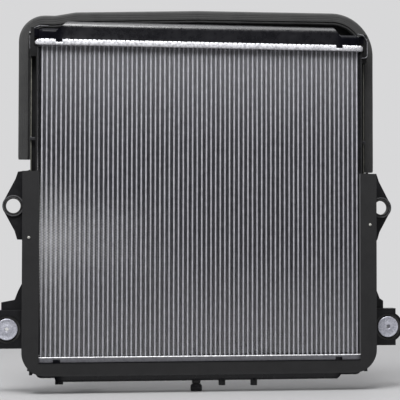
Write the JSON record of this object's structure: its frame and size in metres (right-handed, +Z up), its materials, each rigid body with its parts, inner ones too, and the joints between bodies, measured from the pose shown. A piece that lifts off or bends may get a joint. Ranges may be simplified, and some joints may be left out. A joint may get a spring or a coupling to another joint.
{
  "type": "hydraulic oil cooler",
  "caption": "Upright finned heat exchanger with crimped plastic end tanks, foam edge seals, rubber-bushed side brackets, rear hose necks and a screw-out drain plug.",
  "frame": {"origin": "midway between the two lower bolt holes, in the plane of their washers' front faces", "axes": "+X across the cooler to the viewer's right, +Y from front to back along the air flow, +Z up along the tubes"},
  "size_m": [0.8528, 0.0957, 0.7924],
  "materials": {
    "braze_aluminium": "brazed, dull",
    "header_aluminium": "bright, grainy",
    "black_nylon": "moulded glass-filled nylon",
    "foam_rubber": "closed-cell foam rubber",
    "black_rubber": "moulded rubber",
    "zinc_steel": "zinc plated"
  },
  "bodies": {
    "cooler": {"tubes": "braze_aluminium", "fins": "braze_aluminium", "side_plate_left": "braze_aluminium", "side_plate_right": "braze_aluminium", "upper_header": "header_aluminium", "lower_header": "header_aluminium", "upper_tank_gasket": "black_rubber", "lower_tank_gasket": "black_rubber", "upper_tank": "black_nylon", "lower_tank": "black_nylon", "side_frame_left": "black_nylon", "side_frame_right": "black_nylon", "frame_clips": "zinc_steel", "upper_seal": "foam_rubber", "lower_seal": "foam_rubber", "seal_carrier": "black_nylon", "seal_pins": "black_nylon", "mid_bracket_left": "black_nylon", "mid_bracket_right": "black_nylon", "mid_grommet_left": "black_rubber", "mid_grommet_right": "black_rubber", "lower_bracket_left": "black_nylon", "lower_bracket_right": "black_nylon", "lower_sleeve_left": "zinc_steel", "lower_sleeve_right": "zinc_steel", "lower_bush_left": "black_rubber", "lower_bush_right": "black_rubber", "bracket_screws": "zinc_steel", "frame_screws": "zinc_steel", "carrier_screws": "zinc_steel"},
    "drain_ring": {"drain_o_ring": "black_rubber"},
    "drain_plug": {"drain_plug": "black_nylon"}
  },
  "joints": [
    {"name": "drain_travel", "type": "slide", "parent": "cooler", "child": "drain_ring", "axis": [0, 0, -1], "range_m": [0, 0.004]},
    {"name": "drain_turn", "type": "hinge", "parent": "drain_ring", "child": "drain_plug", "pos_m": [-0.009, 0.0095, -0.114], "axis": [0, 0, -1], "range_deg": [0, 720]}
  ],
  "couplings": [
    {"joint": "drain_travel", "follows": "drain_turn", "m_per_rad": 0.00031831}
  ]
}
